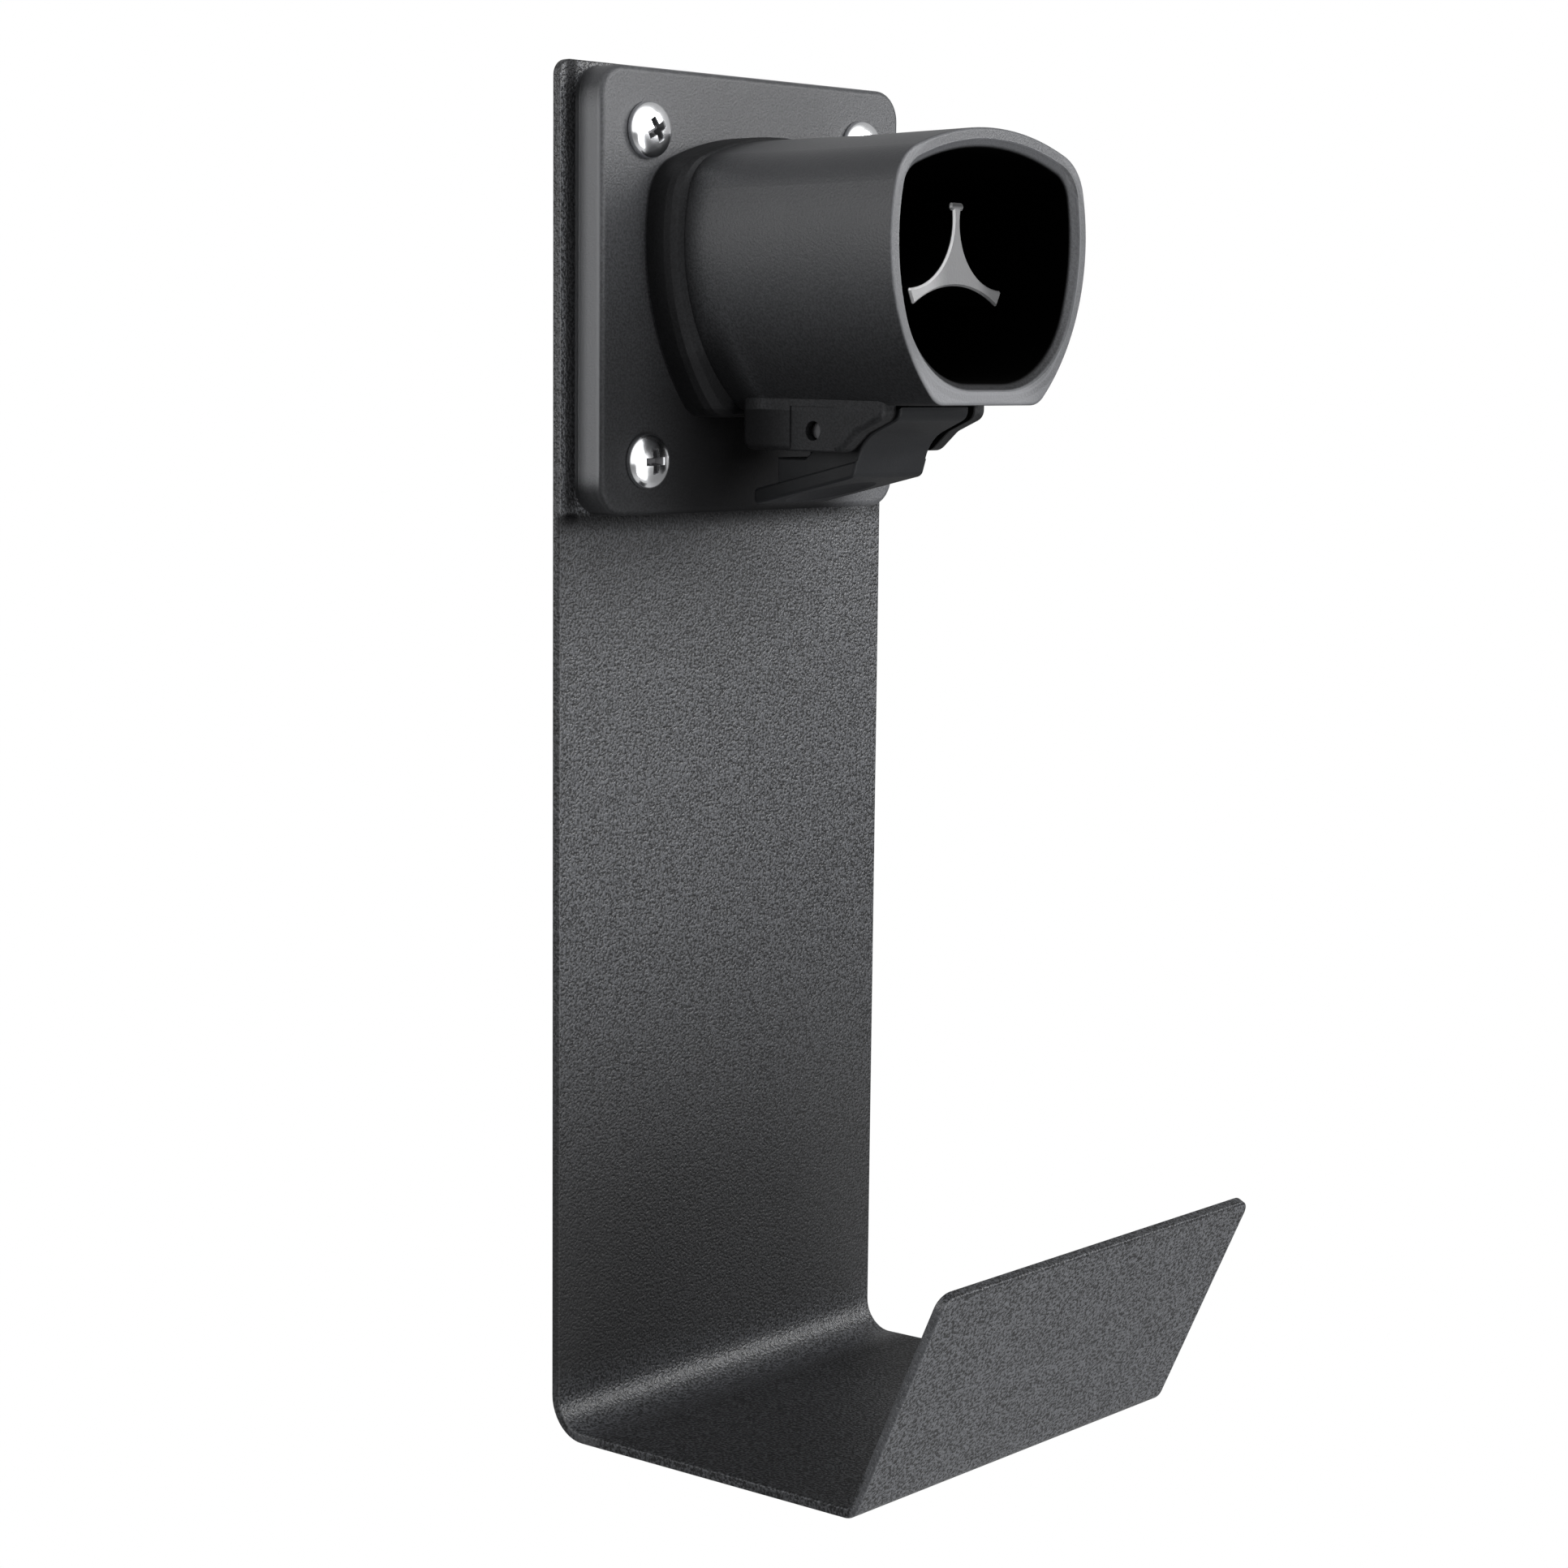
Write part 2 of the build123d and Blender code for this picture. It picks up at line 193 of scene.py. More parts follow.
def makeCamera(setup):
    data = bpy.data.cameras.new("camera")
    data.lens = setup["lens"]
    data.sensor_width = setup["sensor"]
    data.clip_start, data.clip_end = setup["clip"]
    camera = bpy.data.objects.new("camera", data)
    bpy.context.scene.collection.objects.link(camera)
    azimuth, elevation = math.radians(setup["azimuth"]), math.radians(setup["elevation"])
    level = math.cos(elevation)
    look = Vector((-math.sin(azimuth) * level, math.cos(azimuth) * level, -math.sin(elevation)))
    roll = Quaternion((0, 0, 1), math.radians(setup["roll"]))
    camera.rotation_mode = "QUATERNION"
    camera.rotation_quaternion = look.to_track_quat("-Z", "Y") @ roll
    camera.location = setup["place"]
    bpy.context.scene.camera = camera


makeCamera(cameraSetup)
print("camera placed")


studioSetup = {
    "floorHeight": -1.0,
    "floorSize": 12.0,
    "floorShade": (0.8, 0.8, 0.8),
    "floorGloss": 0.2,  # what the floor shows in gloss
    "worldShade": (1.0, 1.0, 1.0),
    "worldFill": 0.03,  # what the room gives to matt surfaces
    "worldGloss": 0.45,  # what it shows in gloss
    "cardGloss": 1.3,  # and what a large white card shows there, in front on the left
    "cardWay": (-0.41, -0.87, 0.26),
    "cardReach": (0.25, 0.80),
    "aim": (0, -0.04, -0.09),  # all softboxes look at this point
}

softboxes = {
    # direction from the front towards the right, height angle, distance, size and power
    "frontSoftbox": {"turn": 0, "rise": -20, "distance": 1.1, "size": 0.8, "power": 8.8},
    "keySoftbox": {"turn": 40, "rise": 19, "distance": 1.1, "size": 0.45, "power": 6.2},
    "topSoftbox": {"turn": 15, "rise": 38, "distance": 0.6, "size": 0.35, "power": 1.7},
    "backSoftbox": {"turn": -118, "rise": 15, "distance": 1.1, "size": 0.6, "power": 4.4},
}


def makeWorld(setup):
    world = bpy.data.worlds.new("studio")
    world.use_nodes = True
    world.node_tree.nodes.clear()
    start = Wire(world.node_tree)
    camera = start.node("ShaderNodeLightPath", {}, {}, "Is Camera Ray")
    gloss = camera.other("Is Glossy Ray")
    seen = camera.atLeast(camera.other("Is Transmission Ray"))
    card = start.node("ShaderNodeTexCoord", {}, {}, "Generated").dot(setup["cardWay"])
    shown = setup["worldGloss"] + card.step(*setup["cardReach"]) * setup["cardGloss"]
    strength = seen + (1 - seen) * (gloss * shown + (1 - gloss) * setup["worldFill"])
    light = start.node("ShaderNodeBackground", {}, {"Color": colour(setup["worldShade"]), "Strength": strength})
    start.node("ShaderNodeOutputWorld", {}, {"Surface": light})
    bpy.context.scene.world = world


def makeFloor(setup):
    half = setup["floorSize"] / 2
    mesh = bpy.data.meshes.new("floor")
    corners = [(-half, -half), (half, -half), (half, half), (-half, half)]
    mesh.from_pydata([(x, y, setup["floorHeight"]) for x, y in corners], [], [(0, 1, 2, 3)])
    floor = bpy.data.objects.new("floor", mesh)
    bpy.context.scene.collection.objects.link(floor)
    material = bpy.data.materials.new("floorPaper")
    material.use_nodes = True
    material.node_tree.nodes.clear()
    start = Wire(material.node_tree)
    camera = start.node("ShaderNodeLightPath", {}, {}, "Is Camera Ray")
    clear = camera.atLeast(camera.other("Is Transmission Ray"))
    seen = clear.atLeast(camera.other("Is Glossy Ray") * setup["floorGloss"])
    matt = start.node("ShaderNodeBsdfDiffuse", {}, {"Color": colour(setup["floorShade"])})
    white = start.node("ShaderNodeEmission", {}, {"Color": colour(setup["worldShade"]), "Strength": 1.0})
    surface = start.node("ShaderNodeMixShader", {}, {0: seen, 1: matt, 2: white})
    start.node("ShaderNodeOutputMaterial", {}, {"Surface": surface})
    mesh.materials.append(material)


def makeSoftbox(name, setup, aim):
    data = bpy.data.lights.new(name, "AREA")
    data.shape = "SQUARE"
    data.size = setup["size"]
    data.energy = setup["power"]
    lamp = bpy.data.objects.new(name, data)
    bpy.context.scene.collection.objects.link(lamp)
    turn, rise = math.radians(setup["turn"]), math.radians(setup["rise"])
    away = Vector((math.sin(turn) * math.cos(rise), -math.cos(turn) * math.cos(rise), math.sin(rise)))
    lamp.location = Vector(aim) + away * setup["distance"]
    lamp.rotation_mode = "QUATERNION"
    lamp.rotation_quaternion = (-away).to_track_quat("-Z", "Y")


makeWorld(studioSetup)
makeFloor(studioSetup)
for name, setup in softboxes.items():
    makeSoftbox(name, setup, studioSetup["aim"])
print("studio lit by", len(softboxes), "softboxes")


stripFinish = {
    "dark": (0.0058, 0.0060, 0.0066),
    "light": (0.090, 0.093, 0.101),
    "paintedLight": (0.148, 0.152, 0.163),  # painted light on the lip's outer face, painted highlights on the cut edges
    "paintedShade": (0.003, 0.003, 0.0035),  # painted shade, where little light comes
    "grain": (1900.0, 1.0, 0.5),  # scale, detail and roughness of the noise: grains about 0.75 mm apart
    "cloud": (14.0, 2.0, 0.5),
    "peak": (0.36, 0.66),  # from the hollows to the tops of the grain
    "peakShare": 0.9,
    "lipBright": 0.42,
    "cutBright": 0.6,
    "grainDepth": 0.00022,
    "roughness": 0.34,
    "grainRough": 0.30,
    "cloudRough": 0.04,
    "paintedShadeRough": 0.25,
    "specular": 0.45,
    "lipWay": (-0.415, 0.910),  # up along the lip, in y and z
    # In mm: y is 0 at the wall, along runs up the lip, and outward is square to its face
    # Masks of painted shade: bend, beside, below, floor and lipTop. outside and cutEdge carry painted light
    "bend": [("z", -110.0, -195.0), ("z", -219.0, -208.0), ("y", -12.0, -4.0), ("x", 10.0, -44.0, 0.78, 1.0)],
    "beside": [("absX", 40.5, 42.5), ("y", -1.0, -1.9), ("x", 0.0, 30.0, 1.0, 0.5), ("absX", 45.4, 43.8),
               ("z", -45.0, -39.0)],
    "below": [("y", -1.0, -1.9), ("z", -41.0, -42.2)],
    "belowFar": [("z", -84.0, -42.0), ("x", 38.0, 0.0, 0.0, 0.45)],
    "belowNear": [("z", -47.0, -42.6, 0.0, 0.45)],
    "floor": [("z", -207.0, -211.0), ("y", -6.0, -16.0)],
    "floorRight": [("x", 0.0, 36.0, 0.95, 1.35)],
    "floorPeak": 0.7,
    "outside": [("outward", 161.9, 162.6)],
    "lipTop": [("along", -116.9, -116.5), ("y", -90.0, -95.0)],
    "cutEdge": [("absX", 45.55, 45.9), ("y", -4.0, -10.0)],
    # What each adds to the painted shade colour, and to Metallic. Nothing here is bare metal: a nearly black metal
    # hardly shines, so this takes the gloss away as painted shade
    "paintedShadeShare": {"bend": 0.95, "beside": 0.85, "lipTop": 0.15, "below": 1.0},
    "glossShare": {"beside": 0.7, "floor": 0.4, "lipTop": 0.3, "below": 0.7},
}


def coatStrip(finish):
    material, start, place = startMaterial("sandyPowderCoat")
    x, y, z = place.axes(mm)
    lipY, lipZ = finish["lipWay"]
    axes = {"x": x, "y": y, "z": z, "absX": abs(x), "along": y * lipY + z * lipZ, "outward": z * lipY - y * lipZ}
    grain = place.noise(*finish["grain"])
    cloud = place.noise(*finish["cloud"])
    peak = grain.step(*finish["peak"])
    # Painted shade: darker at the bend, beside and below the dock, on the hook's floor and on the lip's top, where
    # less light finds its way
    masks = {name: maskFrom(axes, finish[name]) for name in ("bend", "beside", "below", "floor", "lipTop")}
    masks["below"] = masks["below"] * (maskFrom(axes, finish["belowFar"]) + maskFrom(axes, finish["belowNear"]))
    outside = maskFrom(axes, finish["outside"])
    masks["floor"] = masks["floor"] * (1 - outside)
    paintedShade = masks["floor"] * (maskFrom(axes, finish["floorRight"]) - peak * finish["floorPeak"])
    for name, share in finish["paintedShadeShare"].items():
        paintedShade = paintedShade + masks[name] * share
    # Painted shade in the gloss: Metallic over the near black colour takes the reflection away there
    glossless = 0
    for name, share in finish["glossShare"].items():
        glossless = glossless + masks[name] * share
    # Painted light on the lip's outer face and painted highlights along the cut edges
    paintedLight = outside * (1 - masks["lipTop"]) * peak * finish["lipBright"]
    paintedLight = paintedLight + maskFrom(axes, finish["cutEdge"]) * finish["cutBright"]
    shade = peak * finish["peakShare"] + cloud * (1 - finish["peakShare"])
    shade = shade.blend(colour(finish["dark"]), colour(finish["light"]))
    shade = paintedLight.blend(shade, colour(finish["paintedLight"]))
    shade = paintedShade.blend(shade, colour(finish["paintedShade"]))
    roughness = uneven(finish["roughness"], (grain, finish["grainRough"]), (cloud, finish["cloudRough"]))
    finishMaterial(start, shade, roughness + paintedShade * finish["paintedShadeRough"], [(grain, 1.0, finish["grainDepth"])], {
        "Specular IOR Level": finish["specular"], "Metallic": glossless})
    return material


dockFinish = {
    "dark": (0.0178, 0.0185, 0.0203),
    "light": (0.0735, 0.0755, 0.0815),
    # wear, and painted light on the tube's top, the flange's upper part and the rim's face
    "wornAndLit": (0.105, 0.1075, 0.115),
    # painted light on the flange's side and on the rim's low and left edges
    "edge": (0.262, 0.267, 0.279),
    # painted light on the guide's front
    "guide": (0.165, 0.166, 0.170),
    # painted highlight on the guide's chamfers
    "glint": (0.850, 0.852, 0.860),
    # painted shade under and round the tube and on the flange below it
    "paintedShade": (0.004, 0.004, 0.0045),
    # painted black shade inside the socket
    "paintedBlack": (0.001, 0.001, 0.001),
    "grain": (2100.0, 2.0, 0.55),  # scale, detail and roughness of the noise
    "cloud": (60.0, 3.0, 0.6),
    "peak": (0.3, 0.7),
    "peakShare": 0.75,
    "grainDepth": 0.00009,
    "grainStrength": 0.8,
    "roughness": 0.44,
    "grainRough": 0.14,
    "cloudRough": 0.08,
    "paintedShadeRough": 0.25,
    "paintedBlackRough": 0.5,
    "paintedShadeGloss": 0.8,  # what the painted shade adds to Metallic, which takes the gloss away as on the strip
    "specular": 0.38,
    # In mm from here: out runs from the wall, depth from the socket's outline inwards, and ring from the middle of
    # the flange's corner arcs. First the outline of the socket
    "mouthHalf": 28.3,
    "sideRadius": 40.0,
    "widest": 9.8,
    "mouthTop": 30.1,
    "archRadius": 59.0,
    "mouthBottom": -20.2,
    "cornerRadius": 7.0,
    # Side of the flange, with its mould line and painted light on the side. The painted light is weaker where the
    # corners turn away, and ends just above the bottom edge
    "flangeFlat": 36.0,
    "flangeSide": [("ring", 5.65, 5.95)],
    "flangeTurned": [("absX", 33.0, 38.0), ("absZ", 33.0, 38.0)],
    "turnedShare": 0.75,
    "sideAboveEdge": [("z", -41.7, -41.3)],
    "litShare": 0.92,
    "lineFromWall": 2.9,
    "lineFade": (0.25, 0.075),
    "lineDepth": 0.00012,
    # Rim of the mouth at 68.6 mm, with wear and painted highlights along its creases, and painted light over its face
    # and its low and left edges
    "face": [("out", 68.1, 68.45)],
    "faceWearAndLight": 0.5,
    "creaseDepth": 2.1,
    "creaseFade": (0.35, 0.05),
    "outerCrease": [("depth", 0.75, 0.25)],
    "creaseWearAndHighlight": 0.55,
    "lineWearAndHighlight": 0.25,
    "rimLow": [("z", -8.0, -17.0), ("x", 17.0, 8.0, 0.0, 0.45)],
    "rimLeft": [("x", -14.0, -24.0, 0.0, 0.15)],
    # Painted light: the top of the tube, and the flange's upper part and lower right corner, are drawn lighter
    "tube": [("out", 17.0, 30.0)],
    "tubeUpper": [("z", -12.0, 8.0, 0.0, 0.42)],
    "tubeTop": [("z", 8.0, 22.0), ("out", 24.0, 50.0, 0.0, 0.34)],
    "flangeFront": [("out", 9.5, 9.1)],
    "flangeUpper": [("z", 0.0, 34.0, 0.0, 0.24)],
    "flangeCorner": [("x", 18.0, 38.0), ("z", -14.0, -30.0, 0.0, 0.55)],
    # Painted shade where little light comes: on the flange below the tube, and round and under the tube and its ears
    "lee": [("z", 26.0, -23.0), ("x", 36.0, 18.0), ("out", 12.0, 9.6), ("litSide", 0.9, 0.1),
            ("x", -34.0, -14.0, 0.66, 0.96)],
    "collar": [("out", 9.1, 9.6), ("out", 24.0, 15.0, 0.0, 0.85)],
    "ears": [("z", -20.9, -21.8), ("out", 9.6, 12.0), ("out", 38.0, 22.0, 0.68, 0.95)],
    "under": [("z", 4.0, -16.0, 0.0, 0.66)],
    "foot": [("z", 2.0, -14.0), ("out", 9.1, 9.6), ("out", 31.0, 20.0, 0.0, 0.9)],
    "betweenEars": [("absX", 12.2, 11.6), ("z", -20.3, -20.6), ("out", 12.0, 16.0)],
    # Inside the socket: painted black shade behind the rim, up to the guide with its front at 60.2 mm
    "inside": [("depth", 1.1, 1.7)],
    "behindRim": [("out", 67.7, 67.0)],
    "behindGuide": [("out", 59.9, 59.5)],
    "wall": [("depth", 7.5, 5.5)],
    # Painted highlight on the arms' chamfers, as lit from the upper left, and painted light on the left arm. The
    # right arm and the cap get painted black shade, as in the rim's shade
    "glintWay": (-0.8, 0.0, 0.6),
    "glintFade": (0.35, 0.55),
    "armRight": [("x", 3.0, 11.0, 0.0, 0.6)],
    "armLeft": [("x", -2.0, -9.0, 0.0, 0.3)],
    "cap": [("z", 15.0, 16.6, 0.0, 0.95)],
}


def tubeDepth(x, z, finish):
    # How far a point lies inside the socket's outline
    corner = finish["cornerRadius"]
    sideX = abs(x) + (finish["sideRadius"] - finish["mouthHalf"])
    side = finish["sideRadius"] - distance(sideX, z - finish["widest"])
    archZ = z - (finish["mouthTop"] - finish["archRadius"])
    arch = finish["archRadius"] - distance(x, archZ)
    low = z - finish["mouthBottom"]
    return corner - distance(*[(corner - gap).atLeast(0.0) for gap in (side, arch, low)])


def mouldDock(finish):
    material, start, place = startMaterial("charcoalMoulding")
    x, y, z = place.axes(mm)
    axes = {"x": x, "z": z, "out": 0 - y, "absX": abs(x), "absZ": abs(z), "depth": tubeDepth(x, z, finish)}
    axes["ring"] = distance(*[(axes[name] - finish["flangeFlat"]).atLeast(0.0) for name in ("absX", "absZ")])

    def mask(name):
        return maskFrom(axes, finish[name])

    grain = place.noise(*finish["grain"])
    cloud = place.noise(*finish["cloud"])
    face = mask("face")
    tube = mask("tube") * (1 - face)
    side = mask("flangeSide") * (1 - mask("flangeTurned") * finish["turnedShare"])
    axes["litSide"] = side * mask("sideAboveEdge")
    line = abs(axes["out"] - finish["lineFromWall"]).step(*finish["lineFade"]) * side
    crease = abs(axes["depth"] - finish["creaseDepth"]).step(*finish["creaseFade"]) + mask("outerCrease")
    # Wear and painted highlights along the rim's creases and the mould line, painted light over the rim's face
    wearAndHighlight = face * (finish["faceWearAndLight"] + crease * finish["creaseWearAndHighlight"]) + line * finish["lineWearAndHighlight"]
    # Painted light on the top of the tube and on the flange's upper part and lower right corner
    upper = tube * (mask("tubeUpper") + mask("tubeTop"))
    upper = upper + mask("flangeFront") * (mask("flangeUpper") + mask("flangeCorner"))
    # Painted light on the flange's side and on the rim's low and left edges
    paintedLight = (axes["litSide"] * finish["litShare"]).atLeast(face * (mask("rimLow") + mask("rimLeft")))
    # Painted shade under and round the tube, on the collar, ears and foot and between the ears
    paintedShade = mask("under") * tube
    for name in ("lee", "collar", "ears", "foot", "betweenEars"):
        paintedShade = paintedShade.atLeast(mask(name))
    inside, behindGuide, wall = mask("inside"), mask("behindGuide"), mask("wall")
    # Painted light on the guide's front, painted highlight on its chamfers and painted light on its left arm
    guide = inside * (1 - wall) * (1 - behindGuide)
    glint = place.other("Normal").dot(finish["glintWay"]).step(*finish["glintFade"])
    lit = guide * glint.atLeast(mask("armLeft"))
    # Painted black shade inside the socket, and on the guide's right arm and cap
    paintedBlack = inside * mask("behindRim") * wall.atLeast(behindGuide)
    paintedBlack = paintedBlack.atLeast(guide * mask("armRight").atLeast(mask("cap")))
    shade = grain.step(*finish["peak"]) * finish["peakShare"] + cloud * (1 - finish["peakShare"])
    shade = shade.blend(colour(finish["dark"]), colour(finish["light"]))
    for share, name in ((upper, "wornAndLit"), (wearAndHighlight, "wornAndLit"), (paintedLight, "edge"), (paintedShade, "paintedShade"), (guide, "guide"),
                        (lit, "glint"), (paintedBlack, "paintedBlack")):
        shade = share.blend(shade, colour(finish[name]))
    roughness = uneven(finish["roughness"], (grain, finish["grainRough"]), (cloud, finish["cloudRough"]))
    roughness = roughness + paintedShade * finish["paintedShadeRough"] + paintedBlack * finish["paintedBlackRough"]
    bumps = [(line, 1.0, finish["lineDepth"]), (grain, finish["grainStrength"], finish["grainDepth"])]
    finishMaterial(start, shade, roughness, bumps, {
        "Specular IOR Level": finish["specular"], "Metallic": paintedBlack.atLeast(paintedShade * finish["paintedShadeGloss"])})
    return material


leverFinish = {
    "dark": (0.0128, 0.0135, 0.0149),
    "light": (0.0207, 0.0215, 0.0236),
    "grain": (2300.0, 2.0, 0.55),  # scale, detail and roughness of the noise
    "cloud": (110.0, 3.0, 0.6),
    "grainShare": 0.5,
    "grainDepth": 0.000035,
    "grainStrength": 0.8,
    "roughness": 0.50,
    "grainRough": 0.14,
    "cloudRough": 0.10,
    "specular": 0.15,
}


def mouldLever(finish):
    material, start, place = startMaterial("leverMoulding")
    grain = place.noise(*finish["grain"])
    cloud = place.noise(*finish["cloud"])
    shade = grain * finish["grainShare"] + cloud * (1 - finish["grainShare"])
    shade = shade.blend(colour(finish["dark"]), colour(finish["light"]))
    roughness = uneven(finish["roughness"], (grain, finish["grainRough"]), (cloud, finish["cloudRough"]))
    finishMaterial(start, shade, roughness, [(grain, finish["grainStrength"], finish["grainDepth"])], {
        "Specular IOR Level": finish["specular"]})
    return material


steelFinish = {
    "dark": (0.80, 0.81, 0.83),
    "light": (0.93, 0.94, 0.96),
    "brush": (900.0, 2.0, 0.5),  # scale, detail and roughness of the noise
    "smudge": (180.0, 2.0, 0.5),
    "brushShare": 0.6,
    "roughness": 0.20,
    "brushRough": 0.04,
    "smudgeRough": 0.06,
}

pinFinish = {
    **steelFinish,
    # Painted shade: the pin is nearly black, as it sits deep in shade in its hole
    "dark": (0.035, 0.035, 0.037),
    "light": (0.060, 0.060, 0.063),
    "brushWay": (1.0, 0.1, 1.0),
    "roughness": 0.42,
}


def polishSteel(name, finish, recess=None):
    material, start, place = startMaterial(name)
    brush = place.noise(*finish["brush"], finish.get("brushWay"))
    smudge = place.noise(*finish["smudge"])
    shade = brush * finish["brushShare"] + smudge * (1 - finish["brushShare"])
    shade = shade.blend(colour(finish["dark"]), colour(finish["light"]))
    roughness = uneven(finish["roughness"], (brush, finish["brushRough"]), (smudge, finish["smudgeRough"]))
    if recess:
        # Painted shade on the walls of the screws' recesses
        sunk = recessMask(place, recess)
        shade = sunk.blend(shade, colour(recess["recessPaintedShade"]))
        roughness = roughness + sunk * recess["recessRough"]
    finishMaterial(start, shade, roughness, [], {"Metallic": 1.0})
    return material


def dress(name, material):
    # Gives a CAD node its finish
    nodes[name].data.materials.clear()
    nodes[name].data.materials.append(material)


dress("bracket", coatStrip(stripFinish))
dress("dock_body", mouldDock(dockFinish))
dress("latch_lever", mouldLever(leverFinish))
dress("latch_pin", polishSteel("groundPinInPaintedShade", pinFinish))
print("finishes made for the strip, the dock, the lever and the pin")


def startTree(name, sizes):
    # An empty tree with one named input for each size
    tree = bpy.data.node_groups.new(name, "GeometryNodeTree")
    tree.interface.new_socket("Geometry", in_out="INPUT", socket_type="NodeSocketGeometry")
    tree.interface.new_socket("Geometry", in_out="OUTPUT", socket_type="NodeSocketGeometry")
    for size, value in sizes.items():
        kind = "NodeSocketInt" if isinstance(value, int) else "NodeSocketFloat"
        tree.interface.new_socket(size, in_out="INPUT", socket_type=kind)
    start = Wire(tree)
    return tree, start, start.node("NodeGroupInput").other


def finishTree(geometry, material):
    real = geometry.node("GeometryNodeRealizeInstances", {}, {"Geometry": geometry})
    done = geometry.node("GeometryNodeSetMaterial", {}, {"Geometry": real, "Material": material})
    geometry.node("NodeGroupOutput", {}, {"Geometry": done})


def runTree(name, tree, sizes, profile):
    # Runs a tree on a line of points, and keeps the result as a plain mesh
    mesh = bpy.data.meshes.new(name)
    mesh.from_pydata(profile, [], [])
    piece = bpy.data.objects.new(name, mesh)
    bpy.context.scene.collection.objects.link(piece)
    modifier = piece.modifiers.new("nodes", "NODES")
    modifier.node_group = tree
    for socket in tree.interface.items_tree:
        if socket.in_out == "INPUT" and socket.name in sizes:
            modifier[socket.identifier] = sizes[socket.name]
    made = bpy.data.meshes.new_from_object(piece.evaluated_get(bpy.context.evaluated_depsgraph_get()))
    piece.modifiers.clear()
    piece.data = made
    made.name = name
    return piece


def smooth(piece, sharpFrom):
    for polygon in piece.data.polygons:
        polygon.use_smooth = True
    piece.data.set_sharp_from_angle(angle=math.radians(sharpFrom))


flangeScrews = {
    "inputs": {
        "Pitch X": 0.060,
        "Pitch Z": 0.062,
        "Drop": 0.0007,
        "Flange Front": 0.009,
        "Segments": 64,
        "Recess Span": 0.0052,
        "Recess Arm": 0.00155,
        "Recess Depth": 0.0019,
        "Head Height": 0.0029,
        "Turn Seed": 116,
    },
    "headRadius": 0.0053,
    "headRim": 0.0006,
    "domePower": 0.9,
    "domeSteps": 18,
    "rimFoot": (0.35, 0.3),  # chamfer under the rim, as shares of its height
    "shankRadius": 0.00245,
    "shankLength": 0.0087,
    "endChamfer": 0.0005,
    "weld": 0.000002,
    # Each wedge of the recess: its turn and its share of the depth, and how far it narrows from top to foot
    "wedges": ((0, 1.0), (90, 0.96)),
    "wedgeTop": 1.13,
    "wedgeFoot": 0.55,
    "wedgeHeight": 1.3,
    "bevel": 0.00012,
    "bevelFrom": 38,
    "sharpFrom": 32,
    # painted shade on the recess walls
    "recessPaintedShade": (0.13, 0.13, 0.135),
    "recessRough": 0.35,
    "recessFade": (0.10, 0.45),  # mm below the dome
    "recessReach": (3.6, 3.3),  # mm from the screw's axis
}


def recessMask(place, screw):
    # Painted shade: the walls of a recess are darkened, below the dome round each screw's axis
    x, y, z = place.axes(mm)
    names = ("Pitch X", "Pitch Z", "Drop", "Flange Front", "Head Height")
    pitchX, pitchZ, drop, front, height = [screw["inputs"][name] * mm for name in names]
    rim = screw["headRim"] * mm
    radius = distance(abs(x) - pitchX / 2, abs(z + drop) - pitchZ / 2)
    share = radius / (screw["headRadius"] * mm)
    curve = (1 - share * share).atLeast(0.0).root()
    dome = front + rim + (height - rim) * curve
    return (dome + y).step(*screw["recessFade"]) * radius.step(*screw["recessReach"])


def screwOutline(screw):
    # Half outline of a pan head and its shank, from the top of the dome to the end of the shank
    radius, rim, steps = screw["headRadius"], screw["headRim"], screw["domeSteps"]
    dome = screw["inputs"]["Head Height"] - rim
    points = [(0, 0, rim + dome)]
    for step in range(1, steps + 1):
        turn = math.pi / 2 * step / steps
        points.append((radius * math.sin(turn), 0, rim + dome * math.cos(turn) ** screw["domePower"]))
    shank, end, chamfer = screw["shankRadius"], -screw["shankLength"], screw["endChamfer"]
    up, inwards = screw["rimFoot"]
    points += [(radius, 0, rim * up), (radius - rim * inwards, 0, 0), (shank, 0, 0)]
    points += [(shank, 0, end + chamfer), (shank - chamfer, 0, end), (0, 0, end)]
    return points


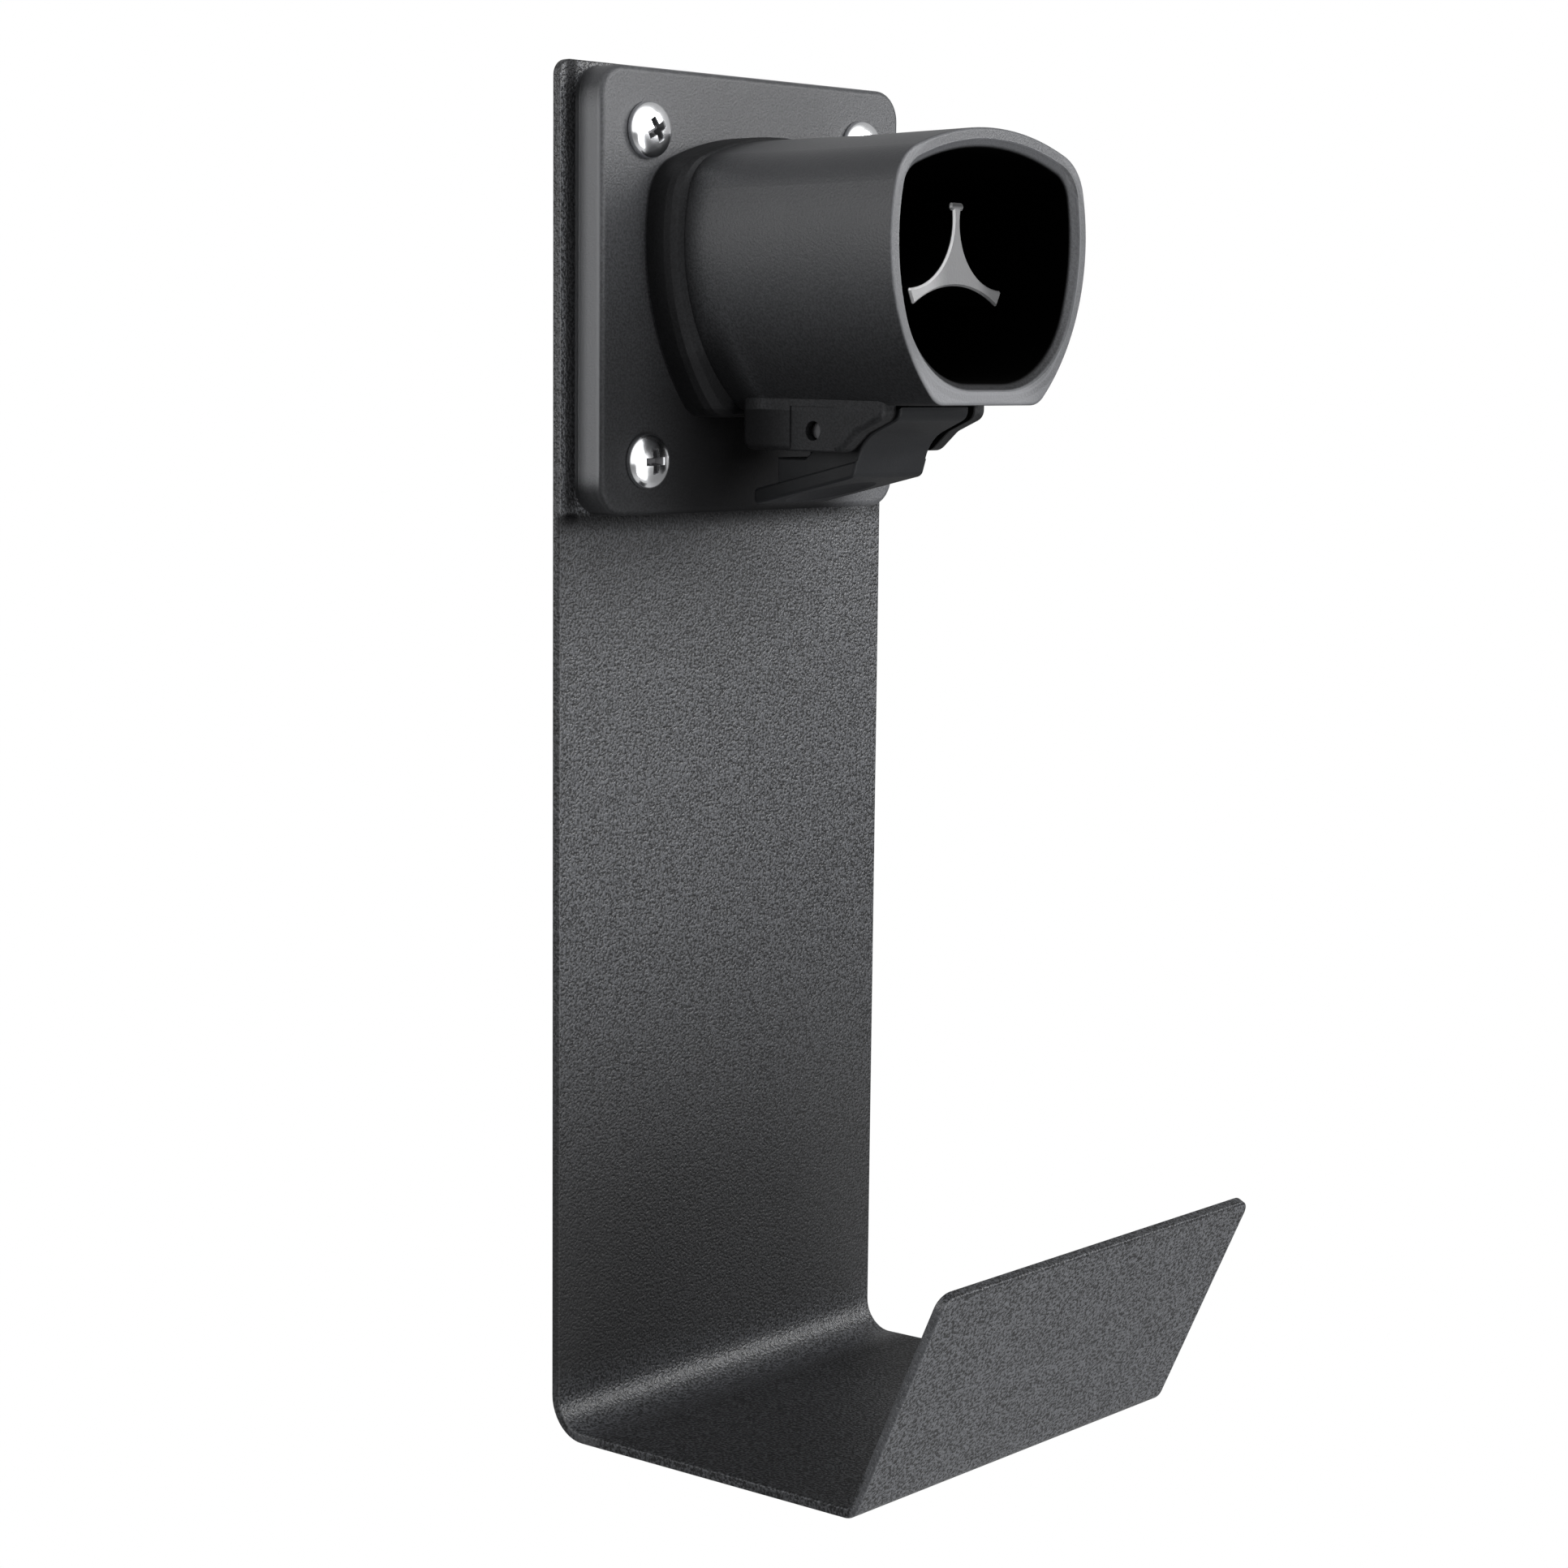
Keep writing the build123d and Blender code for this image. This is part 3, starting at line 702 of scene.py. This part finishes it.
def screwTree(screw, material):
    tree, start, size = startTree("flangeScrewTree", screw["inputs"])
    # The outline is turned round: a sheet has one column for each step round and one row for each point
    count = start.node("GeometryNodeAttributeDomainSize", {"component": "MESH"}, {
        "Geometry": size("Geometry")}, "Point Count")
    sheet = start.node("GeometryNodeMeshGrid", {}, {
        "Size X": 1.0, "Size Y": 1.0, "Vertices X": size("Segments") + 1, "Vertices Y": count})
    index = start.node("GeometryNodeInputIndex")
    column = index.calc("FLOOR", index / count)
    row = index - column * count
    spot = start.node("GeometryNodeInputPosition")
    outline = start.node("GeometryNodeSampleIndex", {"data_type": "FLOAT_VECTOR", "domain": "POINT"}, {
        "Geometry": size("Geometry"), "Value": spot, "Index": row})
    radius, _, height = outline.axes()
    angle = column / size("Segments") * (2 * math.pi)
    turned = start.node("ShaderNodeCombineXYZ", {}, {
        "X": radius * angle.calc("COSINE", angle), "Y": radius * angle.calc("SINE", angle), "Z": height})
    solid = start.node("GeometryNodeSetPosition", {}, {"Geometry": sheet, "Position": turned})
    solid = start.node("GeometryNodeMergeByDistance", {}, {"Geometry": solid, "Distance": screw["weld"]})
    solid = start.node("GeometryNodeFlipFaces", {}, {"Mesh": solid})
    for spin, share in screw["wedges"]:
        # A flat wedge that narrows as it goes down, one for each pair of arms
        depth = size("Recess Depth") * share
        wedge = start.node("GeometryNodeMeshCone", {"fill_type": "NGON"}, {
            "Vertices": 4, "Radius Top": screw["wedgeTop"] / math.sqrt(2),
            "Radius Bottom": screw["wedgeFoot"] / math.sqrt(2), "Depth": depth * screw["wedgeHeight"]})
        wedge = start.node("GeometryNodeTransform", {}, {"Geometry": wedge, "Rotation": (0, 0, math.radians(45))})
        stretch = start.node("ShaderNodeCombineXYZ", {}, {
            "X": size("Recess Span"), "Y": size("Recess Arm"), "Z": 1.0})
        wedge = start.node("GeometryNodeTransform", {}, {"Geometry": wedge, "Scale": stretch})
        lift = start.node("ShaderNodeCombineXYZ", {}, {"Z": size("Head Height") - depth})
        wedge = start.node("GeometryNodeTransform", {}, {
            "Geometry": wedge, "Rotation": (0, 0, math.radians(spin)), "Translation": lift})
        solid = start.node("GeometryNodeMeshBoolean", {"operation": "DIFFERENCE"}, {
            "Mesh 1": solid, "Mesh 2": wedge})
    places = start.node("GeometryNodeMeshGrid", {}, {
        "Size X": size("Pitch X"), "Size Y": size("Pitch Z"), "Vertices X": 2, "Vertices Y": 2})
    turn = start.node("FunctionNodeRandomValue", {"data_type": "FLOAT"}, {
        "Min": 0.0, "Max": math.pi / 2, "Seed": size("Turn Seed")}, 1)
    turns = start.node("ShaderNodeCombineXYZ", {}, {"Z": turn})
    screws = start.node("GeometryNodeInstanceOnPoints", {}, {
        "Points": places, "Instance": solid, "Rotation": turns})
    move = start.node("ShaderNodeCombineXYZ", {}, {"Y": 0 - size("Flange Front"), "Z": 0 - size("Drop")})
    screws = start.node("GeometryNodeTransform", {}, {
        "Geometry": screws, "Rotation": (math.radians(90), 0, 0), "Translation": move})
    finishTree(screws, material)
    return tree


screwSteel = polishSteel("screwSteel", steelFinish, flangeScrews)
screws = runTree("flangeScrewSet", screwTree(flangeScrews, screwSteel), flangeScrews["inputs"],
                 screwOutline(flangeScrews))
edge = screws.modifiers.new("edge", "BEVEL")
edge.width = flangeScrews["bevel"]
edge.segments = 2
edge.limit_method = "ANGLE"
edge.angle_limit = math.radians(flangeScrews["bevelFrom"])
smooth(screws, flangeScrews["sharpFrom"])
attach(screws, "root")
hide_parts("flange_screws")
print("screws:", len(screws.data.polygons), "faces")


latchSpring = {
    "inputs": {
        "Coil Radius": 0.0027,
        "Wire Radius": 0.00035,
        "Turns": 4.0,
        "Low": -0.0304,
        "High": -0.02194,
        "Distance": 0.0281,
        "Steps": 24,
        "Wire Sides": 12,
    },
    "endPitch": 1.02,  # of the end coils, in wire diameters
    "sharpFrom": 50,
}


def springTree(spring, material):
    tree, start, size = startTree("latchSpringTree", spring["inputs"])
    height = size("High") - size("Low")
    line = start.node("GeometryNodeCurveSpiral", {}, {
        "Resolution": size("Steps"), "Rotations": size("Turns"), "Start Radius": size("Coil Radius"),
        "End Radius": size("Coil Radius"), "Height": height, "Reverse": False})
    x, y, z = start.node("GeometryNodeInputPosition").axes()
    # The end coils lie close, as on a spring with closed ends
    share = z / height
    closed = size("Wire Radius") * (2 * spring["endPitch"])
    low = share * size("Turns") * closed
    high = height - (1 - share) * size("Turns") * closed
    edge = 1 / size("Turns")
    middle = closed + (share - edge) / (1 - 2 * edge) * (height - 2 * closed)
    level = low.atLeast(middle).atMost(high)
    bent = start.node("ShaderNodeCombineXYZ", {}, {"X": x, "Y": y, "Z": level})
    line = start.node("GeometryNodeSetPosition", {}, {"Geometry": line, "Position": bent})
    ring = start.node("GeometryNodeCurvePrimitiveCircle", {}, {
        "Resolution": size("Wire Sides"), "Radius": size("Wire Radius")})
    wire = start.node("GeometryNodeCurveToMesh", {}, {"Curve": line, "Profile Curve": ring, "Fill Caps": True})
    move = start.node("ShaderNodeCombineXYZ", {}, {"Y": 0 - size("Distance"), "Z": size("Low")})
    wire = start.node("GeometryNodeTransform", {}, {"Geometry": wire, "Translation": move})
    finishTree(wire, material)
    return tree


springSteel = polishSteel("springSteel", steelFinish)
spring = runTree("latchSpringCoil", springTree(latchSpring, springSteel), latchSpring["inputs"], [(0, 0, 0)])
smooth(spring, latchSpring["sharpFrom"])
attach(spring, "root")
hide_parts("latch_spring")
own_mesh(spring)
print("spring:", len(spring.data.polygons), "faces")


bpy.context.scene.view_settings.view_transform = "Standard"
